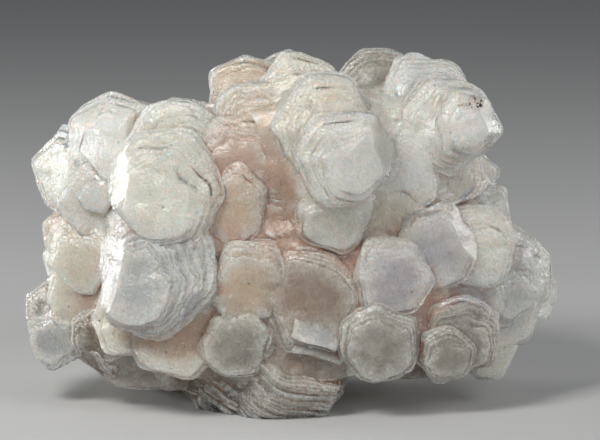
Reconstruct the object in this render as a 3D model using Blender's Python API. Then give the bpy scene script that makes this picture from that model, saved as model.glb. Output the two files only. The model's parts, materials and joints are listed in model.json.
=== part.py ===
"""A cluster of manganoan calcite, about 109 mm wide, grown as one solid.

Each crystal is a low stack of rounded six-sided plates that get smaller towards its front face, so
that their edges show as steps. The crystals overlap like shingles round a solid heart, and the
cluster stands on its flat broken foot at z = 0.

The frame is X to the right and Z up as the cluster is seen from the front, with Y to the back.
"""

import math
import random
from collections import namedtuple

import bmesh
import bpy
import numpy as np
from mathutils import Matrix, Vector

MM = 0.001

# The tables' heights are seen from the front, this far above level, so nearer crystals look lower.
# Their distances towards the viewer start from the upright plane at this y, in millimetres.
SIGHT_TILT = math.radians(10)
SIGHT_PLANE = 3.5

# The core that the crystals grow from, an ellipsoid squared off by this power
CORE_HALF_SIZE = (43.0, 19.5, 27.0)
CORE_CENTRE = (0.0, 4.5, 33.0)
CORE_POWER = 3.0

# One crystal's outline from root to front, as shares of its radius
PLATE_SHIFT = 0.28
BACK_DEPTH = 0.8
FRONT_RISE = 0.55
ROOT_SHARE = 0.92
ROOT_LENGTH = 0.6
ROOT_TIP = 0.7

# The widest plate's height behind its place in millimetres, and before it as a share of the rise
RIM_HEIGHT = 1.5
RIM_LEVEL = 0.2

# How the plates narrow and slip with the share of the way to the front face
SLOPE_POWER = 1.7
SLIP_POWER = 1.3

# A crystal has one more step before its rim where its front face is narrower than this share of the
# radius. It stands this far along the way, between these two shares of the rise.
NARROW_FRONT = 0.65
STEP_WAY = 0.6
STEP_LEVELS = (0.35, 0.75)

# The front crystals above this radius, in millimetres, also have a corner in the middle of each side
LARGE_RADIUS = 6.0

# The plates' edges: how sharp their corners are, how far a corner may reach, how far a side may turn
# in radians, and how far out a side lies, as shares of the radius
EDGE_POWER = 22
CORNER_REACH = 1.04
SIDE_TURN = 0.16
SIDE_REACH = (0.8, 0.98)

# A facet leaves at least this share of the radius and cuts only where it faces outwards this much
CUT_LEAST_RADIUS = 0.15
CUT_LEAST_FACING = 0.02

# The outline of the top as seen from the front, which the back's crystals stay under
SKYLINE = (
    (-60, 26), (-50, 42), (-42, 54), (-34, 59), (-26, 56), (-16, 57), (-8, 64), (2, 66),
    (12, 62), (20, 66), (32, 64), (38, 56), (41, 44), (46, 34), (52, 26), (60, 20),
)

# The crystals of the back: their number on a spiral round the whole core, their lift from it as a
# share of the radius, their radius in millimetres, and their most random turn in degrees
REAR_SEED = 11
REAR_COUNT = 100
REAR_LIFT = 0.3
REAR_RADIUS = (8.0, 11.5)
REAR_TURN = 12

# Where the back's crystals begin, as shares of the core's half depth and half height. From the top
# level up they reach further to the front. Sideways they meet the skyline with a share of the radius.
REAR_START = 0.1
TOP_LEVEL = 0.4
TOP_START = -0.55
REAR_LOWEST = -0.6
SKYLINE_REACH = 0.8

CLUSTER_COLOUR = (0.86, 0.80, 0.76, 1.0)

Crystal = namedtuple(
    "Crystal",
    "name across up toward radius yaw pitch point slip depth front sides cuts",
    defaults=(0, 0, -90, (0.1, -0.3), 1.15, 0.78, 6, ()),
)

# The long straight sides of the slanted block and of its ledge
BLOCK_SIDES = ((67, 90, 0.48), (-113, 90, 0.48))

# Across, up, toward and radius are in millimetres. The widest plate lies before this place by its
# shift. Yaw turns the face to the right and pitch turns it up, in degrees. Point is where a corner
# lies, in degrees round the face. Slip is how far the front face has moved right and up, depth how
# thick the stack is and front how wide its front face is, as shares of the radius. A cut is a flat
# facet: the direction it faces round the crystal, its lean from the front face, and its distance
# from the middle as a share of the radius.
FRONT_CRYSTALS = (
    Crystal("left_shoulder", -35.4, 51, 10, 10.8, -24, 20, 100, (0.15, -0.2),
            front=0.55, cuts=((6, 42, 0.5),)),
    Crystal("left_flank", -43.8, 46, 6, 9.4, -42, 6, 170, (0.1, -0.2), front=0.6),
    Crystal("left_stub", -38.5, 40.3, 17, 3.8, -20, -5, -120, (0, -0.1), 1.8),
    Crystal("left_hollow", -37, 39.8, 13, 9.4, -12, 0, -60, (0, -0.2)),
    Crystal("upper_left_crown", -21.4, 48.6, 18, 11.4, -6, 10, 60, (-0.1, -0.3), front=0.6),
    Crystal("upper_left_disc", -24.4, 42, 22, 12.8, -6, 8, -60, (-0.2, -0.3),
            front=0.56, cuts=((167, 48, 0.56),)),
    Crystal("lower_left_disc", -26.1, 25.4, 23.5, 13.6, -8, 6, -70, (-0.3, -0.22),
            front=0.5, cuts=((165, 47, 0.53),)),
    Crystal("left_edge", -43, 33, 8, 8, -42, 0, 150),
    Crystal("left_spur", -47, 26.9, 4, 4.6, -50, 0, 160, (0, -0.2)),
    Crystal("left_pink", -41, 28.6, 13, 7.8, -26, 0, -110),
    Crystal("wing_back", -48.2, 17.6, 6, 6.3, -36, 14, 165, (0, -0.1), front=0.6),
    Crystal("wing", -47, 12.4, 10, 6.6, -22, -6, -93, (0, -0.3), 1.3, front=0.7),
    Crystal("wing_root", -38, 13.5, 16, 6.4, -10, -12, -80),
    Crystal("under_left_book", -38.5, 8.8, 11, 6.8, -55, -50, 0, (0, 0), 1.6),
    Crystal("under_disc_ledge", -33.6, 15.9, 20, 7, -5, 10, -60, front=0.6),
    Crystal("left_foot_block", -30.2, 8.6, 14, 8, -10, -30, -60, (0, -0.1), 1.3, sides=5),
    Crystal("left_foot_brown", -20, 8.2, 16, 8.6, 5, -40, -60, (0, 0), 1.3),
    Crystal("pink_floor", -21.9, 14, 21, 11, 0, 10, -80, (0, -0.2), 0.9),
    Crystal("low_centre_hex", -11.2, 11.6, 24, 7.5, 8, -6, -115, (0, -0.1),
            1.2, 0.85, 6, ((190, 40, 0.56),)),
    Crystal("centre_disc", -8.6, 24, 24, 8.8, 6, -8, -60, (-0.15, -0.25)),
    Crystal("high_centre_disc", -11.7, 39, 23, 8.4, 4, -4, -95, (0, -0.2)),
    Crystal("high_centre_step", -10.7, 48.1, 20, 9.9, 4, 4, -60, (0, -0.25), front=0.6),
    Crystal("high_centre_back", -6.8, 54, 17, 9.9, 0, 12, -60, front=0.55),
    Crystal("top_left_saddle", -20, 50.2, 8, 9.4, -12, 34, 80, (0, -0.1), front=0.6),
    Crystal("top_left_lobe", -8.8, 60.6, 7, 8.5, -8, 30, 95, (0, -0.15), front=0.6),
    Crystal("top_rear_grey", -0.7, 64, 0, 6.2, 0, 36, 90, (0, 0)),
    Crystal("crest_back", 2.8, 59.4, 15, 9.8, -4, 22, 110, (0.1, -0.2), front=0.55),
    Crystal("crest_middle", 6.8, 54.3, 22, 11, 6, 10, -60, (0.2, -0.25), front=0.6),
    Crystal("crest", 11, 48.6, 27, 10.3, 12, -2, -62, (0.2, -0.2), 1.1,
            front=0.5, cuts=((22, 46, 0.54),)),
    Crystal("under_crest_hex", 9.1, 37.1, 24, 8.4, 6, -14, -92, (0, -0.15), 1.2, 0.66),
    Crystal("right_gap_wall", 21.4, 47.1, 19.5, 9.5, 4, 0, -100),
    Crystal("top_right_rear", 17.4, 59.8, 5, 10.3, 4, 28, 104, (0, -0.1), front=0.6),
    Crystal("right_crown_back", 26.4, 60.6, 11, 9, 10, 24, 60, (0.1, -0.2), front=0.6),
    Crystal("right_crown_middle", 30.7, 54.5, 16, 10.3, 18, 10, -70, (0.15, -0.2), front=0.5),
    Crystal("right_crown", 34.4, 54.7, 21, 6.8, 20, 4, -15, (0.1, -0.1), 1.3,
            front=0.45, cuts=((20, 36, 0.46),)),
    Crystal("right_crown_foot", 29.2, 45.2, 16, 8.4, 12, -8, -80),
    Crystal("right_flank_top", 35.1, 45.2, 7, 7, 34, 0, 10),
    Crystal("right_flank_middle", 37.6, 36.6, 8, 7.8, 38, 6, 40, front=0.6),
    Crystal("right_grey_face", 28.8, 30.6, 20, 9.2, 8, 0, -110, (-0.05, -0.1),
            1.2, 0.8, 6, ((20, 47, 0.5),)),
    Crystal("right_sparkle", 36.6, 30.1, 15, 9.2, 16, 6, -60, front=0.6),
    Crystal("right_wall", 42.6, 24.2, 9, 11.2, 34, 6, 30, (0, -0.1), front=0.6),
    Crystal("right_lower", 43, 18.4, 11, 9, 30, -8, -50, (-0.1, -0.2)),
    Crystal("low_right_disc", 33.6, 13.4, 18, 9, 12, -12, -40, (0, -0.25), front=0.6),
    Crystal("low_right_inner", 30.7, 9.4, 21, 6.2, 10, -14, -40, (0, -0.2), front=0.6),
    Crystal("low_right_sparkle", 40, 9.1, 12, 5.6, 24, -10, -50),
    Crystal("low_right_under", 27.3, 9.2, 14, 7.5, 10, -50, -60, (0, 0)),
    Crystal("centre_right_disc", 17.6, 12.3, 24, 8.8, 4, -8, -95, (0, -0.25), 1.2),
    Crystal("centre_right_upper", 19.7, 24.7, 23, 8.8, 8, 4, -60, (0, -0.15)),
    Crystal("centre_right_pink", 26.3, 20.3, 20, 7.2, 12, 0, -20),
    Crystal("centre_pink_wall", 4.1, 20.3, 22, 11.4, 0, 0, -60, (0, 0), 0.9, 0.75),
    Crystal("centre_pink_upper", 9.3, 28.6, 20.5, 8.1, 0, -10, -90, (0, -0.1)),
    Crystal("centre_pink_left", -1.5, 34, 20.5, 9.9, 0, -6, -60, (0, -0.1)),
    Crystal("right_pink_wall", 19.5, 35.7, 19.5, 9.2, 0, -4, -60),
    Crystal("high_gap_wall", -1.5, 44.5, 19, 9.4, 6, 4, -80, (0, -0.1), 0.9),
    Crystal("middle_left_wall", -17.5, 25, 18.5, 9.9, 4, -4, -100, (0, -0.1), 0.9),
    Crystal("left_low_wall", -42, 20.5, 11.5, 7.7, -18, -4, -60, (0, -0.1), 0.9),
    Crystal("right_low_wall", 35, 21.5, 15.5, 8.8, 12, 0, -80, (0, -0.1), 0.9),
    Crystal("right_rim", 48.9, 20.6, 5, 6.8, 52, 4, 0, (0, 0)),
    Crystal("slanted_block", 4.7, 13.1, 25.5, 5.3, 14, 22, 22, (0, 0), 1.3, 0.94, 4, BLOCK_SIDES),
    Crystal("slanted_ledge", 5.4, 10.2, 24, 5.2, 14, 18, 22, (0, 0), 1.3, 0.94, 4, BLOCK_SIDES),
    Crystal("front_book", 0.6, 6.5, 15, 12.6, 46, 58, -34, (0, 0), 1.8, 0.9),
    Crystal("front_book_step", -10.5, 3, 13, 8, 40, 60, -60, (0, 0), 1.5, 0.9),
)

# The crystals of the broken foot and the underside, with negative distances behind the sight plane
BASE_CRYSTALS = (
    Crystal("foot_left", -27, 5.6, -4, 10.5, -60, -72, 20),
    Crystal("foot_middle", -10, 7, -9, 11.5, 180, -76, 40, (0, 0)),
    Crystal("foot_right", 3.5, 6.2, -7, 10, 150, -78, 0, (0, 0)),
    Crystal("foot_front_left", -22, 6, 2, 10, -20, -80, 10, (0, 0)),
    Crystal("foot_centre", -8, 4.2, 5, 12, 0, -86, 30, (0, 0)),
    Crystal("under_middle", 13, 11, 9, 9, 20, -62, 40),
    Crystal("under_front_right", 30, 12.5, 9, 8.5, 30, -52, 15),
    Crystal("under_right", 20, 12.5, -3, 10, 60, -65, 50),
    Crystal("under_far_right", 33, 16, -2, 9.5, 70, -50, 0),
    Crystal("under_far_left", -39, 15.5, -2, 9.5, -70, -50, 30),
    Crystal("rear_low_right", 16, 15, -13, 10.5, 160, -38, 10, (0, 0), 1.0),
    Crystal("rear_low_middle", -4, 15, -16, 11, 178, -34, 70, (0, 0), 1.0),
    Crystal("rear_low_left", -23, 15, -14, 11, -168, -36, 25, (0, 0), 1.0),
)


def frame_of(yaw, pitch):
    """Right, up and outward of a face turned by yaw and pitch, in degrees."""
    turn, rise = math.radians(yaw), math.radians(pitch)
    outward = Vector((
        math.sin(turn) * math.cos(rise),
        -math.cos(turn) * math.cos(rise),
        math.sin(rise),
    ))
    right = Vector((math.cos(turn), math.sin(turn), 0.0))
    return right, outward.cross(right), outward


def middle_of(crystal):
    """The middle of the crystal's widest plate, in millimetres."""
    height = crystal.up + crystal.toward * math.sin(SIGHT_TILT)
    middle = Vector((crystal.across, SIGHT_PLANE - crystal.toward, height / math.cos(SIGHT_TILT)))
    return middle + frame_of(crystal.yaw, crystal.pitch)[2] * PLATE_SHIFT * crystal.radius


def edge_shape(crystal, angles, chance):
    """The plate's edge at each angle, as a share of the radius: a polygon with bulging sides."""
    first_side = math.radians(crystal.point) + math.pi / crystal.sides
    total = np.full_like(angles, CORNER_REACH ** -EDGE_POWER)
    for side in range(crystal.sides):
        normal = first_side + math.tau * side / crystal.sides + chance.uniform(-SIDE_TURN, SIDE_TURN)
        reach = chance.uniform(*SIDE_REACH)
        total += (np.clip(np.cos(angles - normal), 0, None) / reach) ** EDGE_POWER
    return total ** (-1 / EDGE_POWER)


def heights(crystal):
    """How far the stack reaches behind and before its widest plate, in millimetres."""
    behind = BACK_DEPTH * crystal.depth * crystal.radius
    return behind, FRONT_RISE * (1 - crystal.front) * crystal.radius


def cut_radius(crystal, angles, height, radius):
    """Keeps an edge at this height behind the crystal's facets."""
    for direction, lean, distance in crystal.cuts:
        facing = np.cos(angles - math.radians(direction)) * math.sin(math.radians(lean))
        room = distance * crystal.radius - height * math.cos(math.radians(lean))
        reach = room / np.maximum(facing, CUT_LEAST_FACING)
        reach = np.maximum(reach, CUT_LEAST_RADIUS * crystal.radius)
        radius = np.where(facing > CUT_LEAST_FACING, np.minimum(radius, reach), radius)
    return radius


def ring_at(angles, radius, level):
    """The points of a plate's edge at this height."""
    return np.stack([radius * np.cos(angles), radius * np.sin(angles), np.full_like(radius, level)], 1)


def stack_rings(crystal, corners):
    """The plates' rims from root to front, as rings of points in the crystal's own frame."""
    chance = random.Random(crystal.name)
    angles = np.arange(corners) * math.tau / corners + math.radians(crystal.point)
    shape = edge_shape(crystal, angles, chance)
    to_slip = np.cos(angles) * crystal.slip[0] + np.sin(angles) * crystal.slip[1]
    most_slip = min(1, 2 * (1 - crystal.front))
    behind, before = heights(crystal)
    tip_level = -behind - ROOT_LENGTH * crystal.radius
    rings = [
        ring_at(angles, ROOT_TIP * crystal.radius * shape, tip_level),
        ring_at(angles, ROOT_SHARE * crystal.radius * shape, -behind),
    ]
    steps = [(0.0, -RIM_HEIGHT), (0.0, RIM_LEVEL * before)]
    if crystal.front < NARROW_FRONT:
        steps += [(STEP_WAY, level * before) for level in STEP_LEVELS]
    steps.append((1.0, before))
    for way, level in steps:
        share = 1 - (1 - crystal.front) * way ** SLOPE_POWER
        radius = crystal.radius * (share * shape + most_slip * way ** SLIP_POWER * to_slip)
        rings.append(ring_at(angles, cut_radius(crystal, angles, level, radius), level))
    return rings


def loft(name, rings, collection):
    """A closed mesh object through the rings, which all have as many points, with both ends capped."""
    mesh = bmesh.new()
    loops = [[mesh.verts.new(Vector(point) * MM) for point in ring] for ring in rings]
    for lower, upper in zip(loops, loops[1:]):
        for i in range(len(lower)):
            j = (i + 1) % len(lower)
            mesh.faces.new((lower[i], lower[j], upper[j], upper[i]))
    mesh.faces.new(loops[0][::-1])
    mesh.faces.new(loops[-1])
    data = bpy.data.meshes.new(name)
    mesh.to_mesh(data)
    mesh.free()
    made = bpy.data.objects.new(name, data)
    collection.objects.link(made)
    return made


def add_crystal(crystal, middle, corners, collection):
    """One crystal in its place, as a shape to be joined to the core."""
    made = loft(crystal.name, stack_rings(crystal, corners), collection)
    right, up, outward = frame_of(crystal.yaw, crystal.pitch)
    turn = Matrix((right, up, outward)).transposed().to_4x4()
    made.matrix_world = Matrix.Translation(middle * MM) @ turn
    made.hide_render = True
    made.display_type = "WIRE"
    return made


def rear_crystals():
    """The crystals of the sides and back, on a golden-angle spiral round the core."""
    chance = random.Random(REAR_SEED)
    golden_angle = math.pi * (3 - math.sqrt(5))
    for i in range(REAR_COUNT):
        level = 1 - 2 * (i + 0.5) / REAR_COUNT
        across = math.sqrt(1 - level * level)
        direction = Vector((
            across * math.cos(i * golden_angle),
            across * math.sin(i * golden_angle),
            level,
        ))
        radius = chance.uniform(*REAR_RADIUS)
        turn, tilt = chance.uniform(-REAR_TURN, REAR_TURN), chance.uniform(-REAR_TURN, REAR_TURN)
        point, slip = chance.uniform(0, 360), (chance.uniform(-0.2, 0.2), chance.uniform(-0.3, 0.1))
        nearest = REAR_START if level < TOP_LEVEL else TOP_START
        if direction.y < nearest or level < REAR_LOWEST:
            continue
        reach = sum(abs(part) ** CORE_POWER for part in direction) ** (-1 / CORE_POWER)
        place = Vector(c + h * d * reach for c, h, d in zip(CORE_CENTRE, CORE_HALF_SIZE, direction))
        steep = (math.copysign(abs(d) ** (CORE_POWER - 1), d) for d in direction)
        outward = Vector(s / h for s, h in zip(steep, CORE_HALF_SIZE)).normalized()
        place += outward * REAR_LIFT * radius
        top = place.z * math.cos(SIGHT_TILT) + place.y * math.sin(SIGHT_TILT)
        top += radius * math.hypot(outward.x, outward.y)
        side = abs(place.x) + SKYLINE_REACH * radius * math.hypot(outward.y, outward.z)
        place.z -= max(0, top - np.interp(math.copysign(side, place.x), *zip(*SKYLINE)))
        yaw = math.degrees(math.atan2(outward.x, -outward.y)) + turn
        pitch = math.degrees(math.asin(outward.z)) + tilt
        yield Crystal(f"rear_{i:02d}", 0, 0, 0, radius, yaw, pitch, point, slip), place


def add_core(collection):
    """The solid heart of the cluster, which every crystal's root reaches into."""
    mesh = bmesh.new()
    bmesh.ops.create_icosphere(mesh, subdivisions=3, radius=1.0)
    for vertex in mesh.verts:
        reach = sum(abs(part) ** CORE_POWER for part in vertex.co) ** (-1 / CORE_POWER)
        place = (c + h * v * reach for c, h, v in zip(CORE_CENTRE, CORE_HALF_SIZE, vertex.co))
        vertex.co = Vector(place) * MM
    data = bpy.data.meshes.new("calcite_cluster")
    mesh.to_mesh(data)
    mesh.free()
    core = bpy.data.objects.new("calcite_cluster", data)
    collection.objects.link(core)
    return core


def add_floor_cutter(collection):
    """A slab below z = 0 that takes off what would reach under the foot."""
    thickness = 40 * MM
    width = 300 * MM
    bpy.ops.mesh.primitive_cube_add(
        size=1, location=(0, 0, -thickness / 2), scale=(width, width, thickness)
    )
    cutter = bpy.context.object
    cutter.name = "floor_cutter"
    bpy.ops.object.transform_apply(location=False, rotation=False, scale=True)
    for holder in list(cutter.users_collection):
        holder.objects.unlink(cutter)
    collection.objects.link(cutter)
    cutter.hide_render = True
    cutter.display_type = "WIRE"
    return cutter


def add_boolean(cluster, name, operation):
    boolean = cluster.modifiers.new(name, "BOOLEAN")
    boolean.operation = operation
    boolean.solver = "EXACT"
    return boolean


def connected_verts(first):
    """All vertices that edges join to this one."""
    found, waiting = {first}, [first]
    while waiting:
        for edge in waiting.pop().link_edges:
            for vertex in edge.verts:
                if vertex not in found:
                    found.add(vertex)
                    waiting.append(vertex)
    return found


def fill_inner_gaps(cluster):
    """Keeps only the outer skin, so that a gap closed in between crystals becomes solid."""
    graph = bpy.context.evaluated_depsgraph_get()
    data = bpy.data.meshes.new_from_object(cluster.evaluated_get(graph))
    mesh = bmesh.new()
    mesh.from_mesh(data)
    outermost = max(mesh.verts, key=lambda vertex: vertex.co.z)
    skin = connected_verts(outermost)
    bmesh.ops.delete(mesh, geom=[vertex for vertex in mesh.verts if vertex not in skin], context="VERTS")
    mesh.to_mesh(data)
    mesh.free()
    cluster.modifiers.clear()
    cluster.data = data


def calcite_material():
    """Milky calcite, white with a warm pink tint."""
    material = bpy.data.materials.new("manganoan_calcite")
    material.use_nodes = True
    shader = material.node_tree.nodes["Principled BSDF"]
    shader.inputs["Base Color"].default_value = CLUSTER_COLOUR
    shader.inputs["Roughness"].default_value = 0.35
    shader.inputs["Metallic"].default_value = 0.0
    shader.inputs["Subsurface Weight"].default_value = 0.6
    return material


def new_collection(name):
    collection = bpy.data.collections.new(name)
    bpy.context.scene.collection.children.link(collection)
    return collection


def main():
    for old in list(bpy.data.objects):
        bpy.data.objects.remove(old)
    specimen = new_collection("manganoan_calcite_specimen")
    grown = new_collection("crystals_to_join")
    cutters = new_collection("cutters")
    for crystal in FRONT_CRYSTALS:
        finer = 2 if crystal.radius > LARGE_RADIUS or crystal.cuts else 1
        add_crystal(crystal, middle_of(crystal), finer * crystal.sides, grown)
    for crystal in BASE_CRYSTALS:
        add_crystal(crystal, middle_of(crystal), crystal.sides, grown)
    for crystal, middle in rear_crystals():
        add_crystal(crystal, middle, crystal.sides, grown)

    cluster = add_core(specimen)
    joined = add_boolean(cluster, "join_crystals", "UNION")
    joined.operand_type = "COLLECTION"
    joined.collection = grown
    foot = add_boolean(cluster, "flat_foot", "DIFFERENCE")
    foot.object = add_floor_cutter(cutters)
    cluster.data.materials.append(calcite_material())
    fill_inner_gaps(cluster)


main()
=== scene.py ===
"""The looks of a cluster of manganoan calcite, about 109 mm wide.

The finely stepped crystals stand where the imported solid's crystals stand and join in one mesh that
replaces it. Small grains of a dark sulfide sit on them. The frame is X to the right and Z up as the
cluster is seen from the front, with Y to the back.
"""

import json
import math
import random
from collections import namedtuple

import bmesh
import bpy
import numpy as np
from mathutils import Matrix, Vector
from mathutils.bvhtree import BVHTree
from mathutils.kdtree import KDTree

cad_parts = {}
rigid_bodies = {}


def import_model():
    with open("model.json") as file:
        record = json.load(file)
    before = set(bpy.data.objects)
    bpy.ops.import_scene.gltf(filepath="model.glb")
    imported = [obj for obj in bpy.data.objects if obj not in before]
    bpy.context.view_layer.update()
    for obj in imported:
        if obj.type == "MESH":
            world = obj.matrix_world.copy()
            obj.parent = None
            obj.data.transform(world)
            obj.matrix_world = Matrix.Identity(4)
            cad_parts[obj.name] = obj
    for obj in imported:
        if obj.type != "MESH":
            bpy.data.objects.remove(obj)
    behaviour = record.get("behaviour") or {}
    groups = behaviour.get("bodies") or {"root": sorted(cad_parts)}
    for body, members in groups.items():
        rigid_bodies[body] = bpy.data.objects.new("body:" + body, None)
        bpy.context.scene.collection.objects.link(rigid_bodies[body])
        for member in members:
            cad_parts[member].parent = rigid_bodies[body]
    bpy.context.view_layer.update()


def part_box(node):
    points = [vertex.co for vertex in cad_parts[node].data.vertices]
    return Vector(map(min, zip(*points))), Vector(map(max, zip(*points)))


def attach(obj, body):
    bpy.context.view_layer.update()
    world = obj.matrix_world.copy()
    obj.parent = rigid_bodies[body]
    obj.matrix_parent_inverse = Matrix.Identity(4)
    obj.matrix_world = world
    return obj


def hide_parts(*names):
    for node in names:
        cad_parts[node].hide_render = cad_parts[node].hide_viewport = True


MM = 0.001
NODE = "calcite_cluster"

# The tables' heights are seen from the front, this far above level, so nearer crystals look lower.
# Their distances towards the viewer start from the upright plane at this y, in millimetres.
SIGHT_TILT = math.radians(10)
SIGHT_PLANE = 3.5

# The core that the crystals grow from, an ellipsoid squared off by this power
CORE_HALF_SIZE = (43.0, 19.5, 27.0)
CORE_CENTRE = (0.0, 4.5, 33.0)
CORE_POWER = 3.0

# One crystal's outline from root to front, as shares of its radius
PLATE_SHIFT = 0.28
BACK_DEPTH = 0.8
FRONT_RISE = 0.55
ROOT_SHARE = 0.92
ROOT_LENGTH = 0.6
ROOT_TIP = 0.7

# How the plates narrow and slip on the way to the front face
SLOPE_POWER = 1.7
SLIP_POWER = 1.3

# How sharp the plates' corners are, how far a corner may reach, how far a side may turn in radians,
# and how far out a side lies, as shares of the radius
EDGE_POWER = 22
CORNER_REACH = 1.04
SIDE_TURN = 0.16
SIDE_REACH = (0.8, 0.98)

# A facet leaves at least this share of the radius and cuts only where it faces outwards this much
CUT_LEAST_RADIUS = 0.15
CUT_LEAST_FACING = 0.02

# The plates' spacing along the outline in front and behind, and how far a joint's place is left to
# chance as a share of it. In millimetres: an edge's notch, bevel, teeth and ledges, and the face's
# swell.
PLATE_SPACING = 0.75
REAR_SPACING = 1.5
JOINT_CHANCE = 0.42
PLATE_NOTCH = 0.08
PLATE_BEVEL = 0.12
TOOTH_DEPTH = 0.2
LEDGE_DEPTH = 0.26
FACE_SWELL = 0.12

# The growth lines climb with a crystal's height and with this share of the way in from its rim. Their
# distance and how far they wander are in millimetres.
GROWTH_SLANT = 0.55
GROWTH_LINES = 0.62
GROWTH_WANDER = 1.3

# How strong the steps are, how far a plate's sides turn in radians and reach as a share of the
# radius, the smoothest crystals' part of that, and a plate's waves by its thickness
STEP_SHARE = 0.85
PLATE_TURN = 0.03
PLATE_WANDER = 0.02
WANDER_LEAST = 0.4
LEVEL_WAVE = 0.12

# Where a plate's edge lies in its thickness, the notch's and bevel's share of its teeth, and the
# width of the face's last ring as a share of the one before
EDGE_LEVEL = 0.3
SEAM_TEETH = 0.5
FACE_INNER = 0.5

# How strongly a plate stands out round the crystal: the mean, the waves that all plates share and
# its own, the least, and the least of a ledge
FADE_MEAN = 0.5
FADE_SHARED = 0.55
FADE_OWN = 0.3
FADE_LEAST = 0.05
LEDGE_LEAST = 0.4

# Points round a crystal in front, and round one behind
FRONT_POINTS = 72
REAR_POINTS = 52

# The outline of the top as seen from the front, which the back's crystals stay under
SKYLINE = (
    (-60, 26), (-50, 42), (-42, 54), (-34, 59), (-26, 56), (-16, 57), (-8, 64), (2, 66),
    (12, 62), (20, 66), (32, 64), (38, 56), (41, 44), (46, 34), (52, 26), (60, 20),
)

# The back's crystals: their number on a spiral round the whole core, their lift from it as a share of
# the radius, their radius in millimetres, their most random turn in degrees, and their tints
REAR_SEED = 11
REAR_COUNT = 100
REAR_LIFT = 0.3
REAR_RADIUS = (8.0, 11.5)
REAR_TURN = 12
REAR_TINTS = ("white", "cream", "green", "peach", "cool", "grey")

# How far their faces may slip right and up, as shares of the radius, and their plates stand out
REAR_SLIP_RIGHT = (-0.2, 0.2)
REAR_SLIP_UP = (-0.3, 0.1)
REAR_STEPS = (0.5, 1)

# Where they begin, as shares of the core's half depth and half height. From the top level up they
# reach further to the front. Sideways they meet the skyline with a share of the radius.
REAR_START = 0.1
TOP_LEVEL = 0.4
TOP_START = -0.55
REAR_LOWEST = -0.6
SKYLINE_REACH = 0.8

# The crust in the valleys between crystals: how many steps of its fine mesh it closes over and is
# smoothed by, its depth in millimetres under the crystals' mean level, and how much deeper it lies at
# the outline that the front view has above this level
CRUST_SEED = 5
CRUST_CLOSING = 5
CRUST_SMOOTHING = 6
CRUST_DEPTH = 2.2
OUTLINE_WIDTH = 0.3
OUTLINE_DEPTH = 2.0
OUTLINE_LOWEST = -0.3

# The crust's small flat facets: their number, lean, dip and rise in millimetres
FACET_COUNT = 1600
FACET_LEAN = 0.07
FACET_DIP = (0.0, 0.0, -0.12)
FACET_RISE = 0.05

# How many crystals are joined to the cluster in one go, and the most triangles of the whole
JOINED_AT_ONCE = 12
MOST_TRIANGLES = 196_000

# The slab that cuts the foot flat, and a distance well outside the cluster
CUTTER_WIDTH = 300 * MM
CUTTER_THICKNESS = 40 * MM
FAR_OUT = 200 * MM

# Bends that take the crystals out of true: wavelength and reach in millimetres, and the height above
# the foot at which they have come in fully. Each is a sum of waves, with lengths and heights by
# these shares.
BENDS = ((16.0, 0.45), (5.0, 0.13))
BEND_START = 4.0
BEND_WAVES = 7
BEND_LENGTHS = (0.7, 1.4)
BEND_HEIGHT = 0.4

# How closed in a point is, which sets where the hollows' pink and painted shade go: the rays cast, their
# turn to the outside, their start above the surface in millimetres, their reach, and how much the result
# is smoothed
HOLLOW_SEED = 3
HOLLOW_RAYS = 10
HOLLOW_OUTWARD = 1.02
HOLLOW_START = 0.1
HOLLOW_REACH = 22 * MM
HOLLOW_SMOOTHING = 6

# The sulfide grains: patches of across, up and half width in the tables' view, in millimetres, each
# with a number of grains and their size. The last patch is on the back too.
GRAIN_SEED = 8
GRAIN_PATCHES = (
    (36.5, 59.2, 1.3, 16, (0.3, 0.9)),
    (34.0, 48.0, 5.0, 6, (0.2, 0.4)),
    (-18.0, 20.0, 14.0, 8, (0.2, 0.45)),
    (12.0, 32.0, 18.0, 12, (0.2, 0.45)),
    (0.0, 36.0, 46.0, 34, (0.2, 0.4)),
)

# A grain's random points and how they are stretched along each axis, and how far it keeps from the
# sides of the solid's box, in millimetres
GRAIN_POINTS = 11
GRAIN_STRETCH = (0.7, 1.2)
GRAIN_MARGIN = 1.0

# The crystals' colours, and as the fourth number how much of the hollows' pink and painted shade they
# take on. The dark grey is painted shade, and rose and brown are partly their own colour and partly
# painted shade.
TINTS = {
    "snow": (0.92, 0.92, 0.87, 0.15),
    "white": (0.86, 0.86, 0.77, 0.40),
    "cream": (0.82, 0.76, 0.64, 0.50),
    "cool": (0.71, 0.74, 0.72, 0.50),
    "green": (0.62, 0.65, 0.53, 0.60),
    "peach": (0.75, 0.59, 0.44, 0.80),
    "pink": (0.68, 0.48, 0.38, 1.00),
    "salmon": (0.55, 0.34, 0.23, 1.00),
    "grey": (0.55, 0.57, 0.57, 0.50),
    "lavender": (0.57, 0.55, 0.58, 0.60),
    "painted_shade_grey": (0.36, 0.34, 0.29, 0.80),
    "rose": (0.38, 0.27, 0.20, 1.00),
    "brown": (0.22, 0.15, 0.09, 1.00),
}

Crystal = namedtuple(
    "Crystal",
    "name tint steps across up toward radius yaw pitch point slip depth front sides cuts",
    defaults=(0, 0, -90, (0.1, -0.3), 1.15, 0.78, 6, ()),
)

# The long straight sides of the slanted block and of its ledge
BLOCK_SIDES = ((67, 90, 0.48), (-113, 90, 0.48))
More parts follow.
